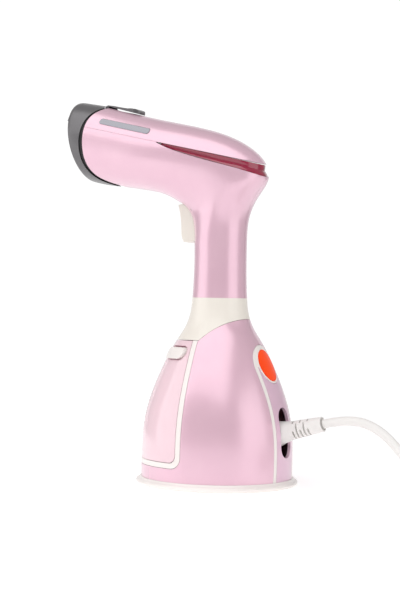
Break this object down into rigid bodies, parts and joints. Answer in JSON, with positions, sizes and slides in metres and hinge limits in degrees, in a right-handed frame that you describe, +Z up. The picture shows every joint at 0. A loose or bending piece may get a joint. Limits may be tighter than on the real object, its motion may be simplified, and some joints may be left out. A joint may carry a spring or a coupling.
{
  "type": "handheld garment steamer",
  "caption": "Handheld garment steamer with a bell-shaped tank base, round handle, tilted steam head, trigger, power button and mains lead.",
  "frame": {"origin": "centre of the flat underside of the base, which the steamer stands on", "axes": "+Z up, the steam plate faces -Y, the mains lead leaves towards +Y, +X is the left side for the person holding it"},
  "size_m": [0.1589, 0.4136, 0.2955],
  "materials": {
    "pearl_pink": "pearlescent pink gloss lacquer",
    "white_gloss": "glossy white moulding",
    "cream_gloss": "glossy cream moulding",
    "tank_pink": "clear pale pink, polished",
    "tank_clear": "natural acetal",
    "orange_gloss": "glossy orange-red lens",
    "magenta_gloss": "clear magenta, polished",
    "grey_plastic": "dark grey semi-gloss moulding",
    "black_rubber": "satin black",
    "chrome": "polished",
    "steam_plate_steel": "brushed",
    "cast_aluminium": "as cast",
    "steel": "zinc plated",
    "brass": "turned",
    "lead_white": "satin white vinyl",
    "tie_black": "woven hook-and-loop strap",
    "inner_plastic": "black moulding",
    "silicone": "translucent silicone",
    "board_green": "solder mask",
    "component_mix": "moulded parts",
    "wire_sleeve": "glass-fibre sleeve"
  },
  "bodies": {
    "case": {"accent_stripe": "magenta_gloss", "base_chassis": "inner_plastic", "base_foot": "white_gloss", "base_screws": "steel", "base_side_panel_left": "pearl_pink", "base_side_panel_right": "pearl_pink", "bezel_gasket": "black_rubber", "board_components": "component_mix", "boiler_inlet": "brass", "button_spring": "steel", "circuit_board": "board_green", "collar": "cream_gloss", "cord_coil": "lead_white", "cord_tie": "tie_black", "foot_pads": "black_rubber", "handle_screws": "steel", "handle_shell_left": "pearl_pink", "handle_shell_right": "pearl_pink", "head_top_cover": "pearl_pink", "heat_shield": "cast_aluminium", "heater_block": "cast_aluminium", "heater_screws": "steel", "heating_element": "steel", "inlet_socket": "inner_plastic", "mains_cord": "lead_white", "mains_plug": "lead_white", "microswitch": "inner_plastic", "power_switch": "inner_plastic", "pump_mount": "black_rubber", "rear_panel": "pearl_pink", "rear_trim": "white_gloss", "riser_hose": "silicone", "side_badges": "chrome", "steam_plate": "steam_plate_steel", "suction_hose": "silicone", "tank_frame": "white_gloss", "tank_seal": "black_rubber", "thermal_fuse": "component_mix", "thermostat": "steel", "trigger_pin": "steel", "trigger_spring": "steel", "water_pump": "inner_plastic", "wire_bundle": "wire_sleeve"},
    "tank": {"water_tank": "tank_pink", "tank_outlet_valve": "tank_clear", "tank_fill_plug": "black_rubber", "latch_springs": "steel"},
    "latch_left": {"tank_latch_left": "white_gloss"},
    "latch_right": {"tank_latch_right": "white_gloss"},
    "button": {"power_button": "orange_gloss"},
    "swivel": {"cord_swivel": "lead_white", "strain_relief": "lead_white"},
    "bezel": {"attachment_ring": "grey_plastic", "tab_pin": "steel"},
    "tab": {"attachment_tab": "grey_plastic"},
    "trigger": {"trigger": "cream_gloss"},
    "plunger": {"switch_plunger": "inner_plastic"}
  },
  "joints": [
    {"name": "tank_slide", "type": "slide", "parent": "case", "child": "tank", "axis": [0, -1, 0], "range_m": [0, 0.06]},
    {"name": "latch_left_press", "type": "slide", "parent": "tank", "child": "latch_left", "axis": [-0.8241, 0.5664, 0], "range_m": [0, 0.0025], "stiffness_N_per_m": 500, "springref_m": -0.001, "deforming": ["latch_springs"]},
    {"name": "latch_right_press", "type": "slide", "parent": "tank", "child": "latch_right", "axis": [0.8241, 0.5664, 0], "range_m": [0, 0.0025], "stiffness_N_per_m": 500, "springref_m": -0.001, "deforming": ["latch_springs"]},
    {"name": "power_button_press", "type": "slide", "parent": "case", "child": "button", "axis": [0, -0.91, -0.4147], "range_m": [0, 0.0018], "stiffness_N_per_m": 600, "springref_m": -0.001, "deforming": ["button_spring"]},
    {"name": "cord_swivel_turn", "type": "hinge", "parent": "case", "child": "swivel", "pos_m": [0, 0.0465, 0.0395], "axis": [1, 0, 0], "range_deg": [-50, 25]},
    {"name": "bezel_slide", "type": "slide", "parent": "case", "child": "bezel", "axis": [0, -0.9799, 0.1994], "range_m": [0, 0.014]},
    {"name": "tab_lift", "type": "hinge", "parent": "bezel", "child": "tab", "pos_m": [0, -0.099, 0.2895], "axis": [1, 0, 0], "range_deg": [0, 12], "stiffness_Nm_per_rad": 0.05, "springref_deg": -5.73},
    {"name": "trigger_pull", "type": "hinge", "parent": "case", "child": "trigger", "pos_m": [0, -0.019, 0.2085], "axis": [1, 0, 0], "range_deg": [0, 7], "stiffness_Nm_per_rad": 0.6, "springref_deg": -2.86, "deforming": ["trigger_spring"]},
    {"name": "plunger_press", "type": "slide", "parent": "case", "child": "plunger", "axis": [0, 1, 0], "range_m": [0, 0.0021]}
  ],
  "couplings": [
    {"joint": "plunger_press", "follows": "trigger_pull", "m_per_rad": 0.0165}
  ]
}
